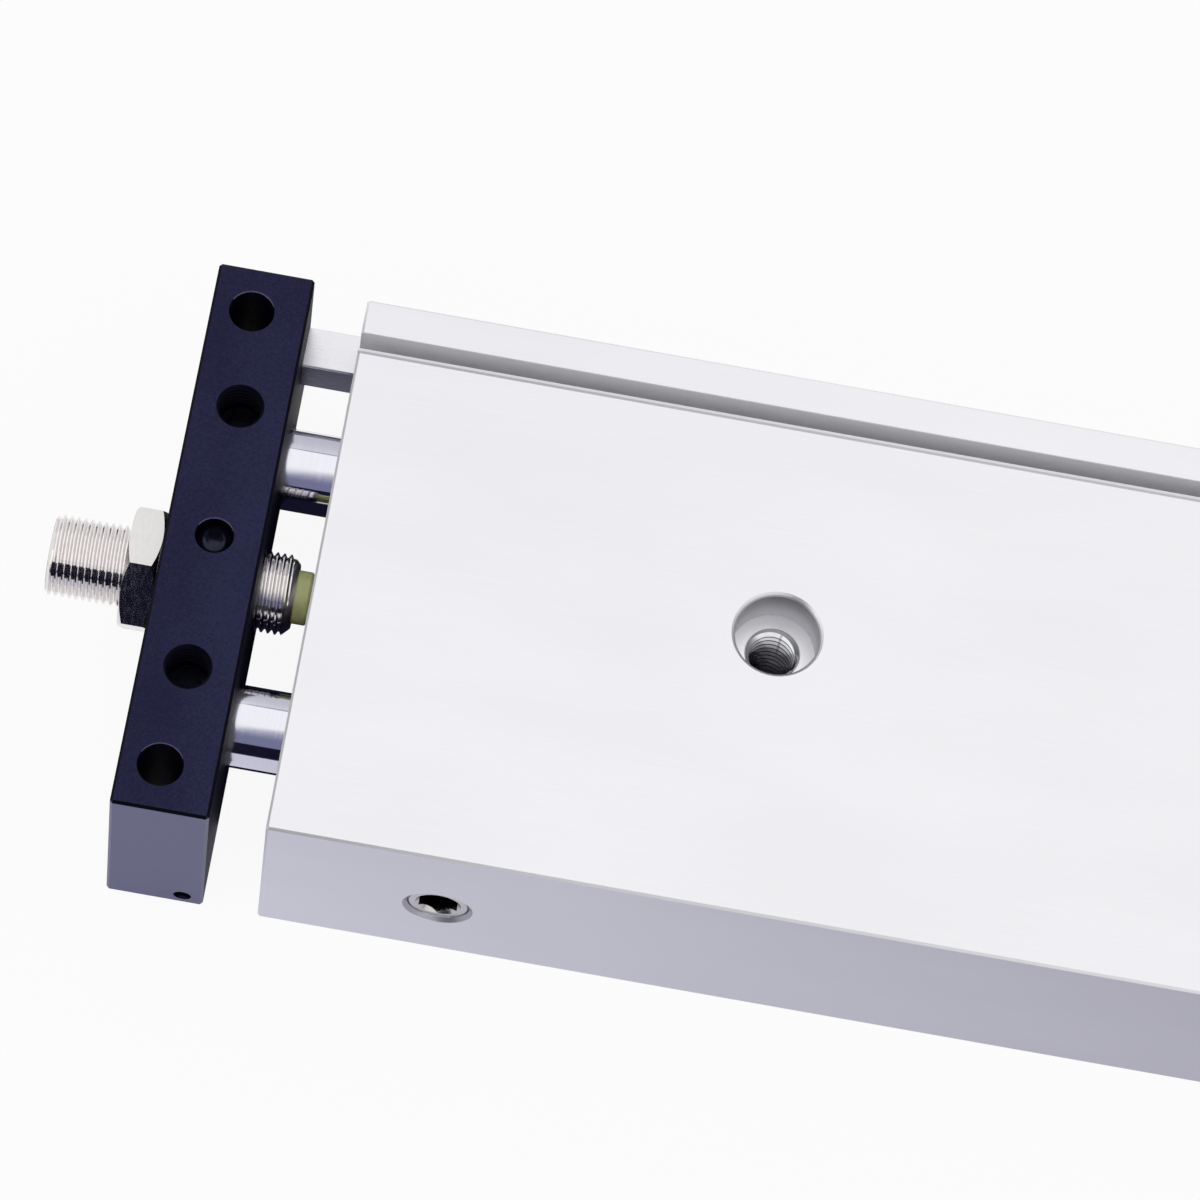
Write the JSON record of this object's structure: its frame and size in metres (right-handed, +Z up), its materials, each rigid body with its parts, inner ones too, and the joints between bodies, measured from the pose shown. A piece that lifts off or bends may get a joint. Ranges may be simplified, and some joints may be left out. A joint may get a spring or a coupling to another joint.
{
  "type": "pneumatic slide table",
  "caption": "Twin-rod pneumatic slide table: flat bored body, hollow through rods tied by black end plates with shock absorbers, and a rail along the back.",
  "frame": {"origin": "on the underside of the body, half way along it, below the mid-line between the two rods", "axes": "+X along the rods towards the end plate that stands away from the body, +Y towards the back side with the switch groove and the rail, +Z up out of the top face"},
  "size_m": [0.4016, 0.086, 0.033],
  "materials": {
    "anodised_body": "clear anodised, satin",
    "black_plate": "black anodised, fine bead-blasted satin",
    "chromed_rod": "hard chrome, ground and polished",
    "nickel_thread": "bright nickel plate",
    "rail_aluminium": "clear anodised",
    "turned_aluminium": "machined",
    "black_steel": "black oxide",
    "spring_steel": "bright spring steel",
    "bearing_bronze": "sintered bronze",
    "black_rubber": "nitrile rubber",
    "green_urethane": "urethane, olive green",
    "wear_plastic": "filled PTFE",
    "magnet_grey": "bonded ferrite"
  },
  "bodies": {
    "housing": {"body_extrusion": "anodised_body", "port_plug_left": "nickel_thread", "rod_cover_front_left": "turned_aluminium", "rod_bush_front_left": "bearing_bronze", "rod_seal_front_left": "black_rubber", "cover_o_ring_front_left": "black_rubber", "circlip_front_left": "spring_steel", "bumper_front_left": "black_rubber", "rod_cover_back_left": "turned_aluminium", "rod_bush_back_left": "bearing_bronze", "rod_seal_back_left": "black_rubber", "cover_o_ring_back_left": "black_rubber", "circlip_back_left": "spring_steel", "bumper_back_left": "black_rubber", "port_plug_right": "nickel_thread", "rod_cover_front_right": "turned_aluminium", "rod_bush_front_right": "bearing_bronze", "rod_seal_front_right": "black_rubber", "cover_o_ring_front_right": "black_rubber", "circlip_front_right": "spring_steel", "bumper_front_right": "black_rubber", "rod_cover_back_right": "turned_aluminium", "rod_bush_back_right": "bearing_bronze", "rod_seal_back_right": "black_rubber", "cover_o_ring_back_right": "black_rubber", "circlip_back_right": "spring_steel", "bumper_back_right": "black_rubber"},
    "carriage": {"rail": "rail_aluminium", "piston_pins": "spring_steel", "rod_front": "chromed_rod", "piston_front": "turned_aluminium", "piston_seal_front": "black_rubber", "wear_ring_front": "wear_plastic", "piston_magnet_front": "magnet_grey", "rod_back": "chromed_rod", "piston_back": "turned_aluminium", "piston_seal_back": "black_rubber", "wear_ring_back": "wear_plastic", "piston_magnet_back": "magnet_grey", "end_plate_left": "black_plate", "clamp_screws_left": "black_steel", "lock_screw_left": "black_steel", "passage_balls_left": "spring_steel", "absorber_sleeve_left": "nickel_thread", "absorber_nut_left": "nickel_thread", "absorber_guide_left": "bearing_bronze", "plunger_spring_left": "spring_steel", "end_plate_right": "black_plate", "clamp_screws_right": "black_steel", "lock_screw_right": "black_steel", "passage_balls_right": "spring_steel", "absorber_sleeve_right": "nickel_thread", "absorber_nut_right": "nickel_thread", "absorber_guide_right": "bearing_bronze", "plunger_spring_right": "spring_steel"},
    "left_plunger": {"plunger_left": "chromed_rod", "plunger_cap_left": "green_urethane"},
    "right_plunger": {"plunger_right": "chromed_rod", "plunger_cap_right": "green_urethane"}
  },
  "joints": [
    {"name": "carriage_slide", "type": "slide", "parent": "housing", "child": "carriage", "axis": [-1, 0, 0], "range_m": [0, 0.125]},
    {"name": "left_plunger_slide", "type": "slide", "parent": "carriage", "child": "left_plunger", "axis": [1, 0, 0], "range_m": [0, 0.007], "deforming": ["plunger_spring_left"]},
    {"name": "right_plunger_slide", "type": "slide", "parent": "carriage", "child": "right_plunger", "axis": [1, 0, 0], "range_m": [0, 0.007], "deforming": ["plunger_spring_right"]}
  ],
  "couplings": [
    {"joint": "left_plunger_slide", "follows": "carriage_slide", "ratio": 0.056},
    {"joint": "right_plunger_slide", "follows": "carriage_slide", "ratio": 0.056}
  ]
}
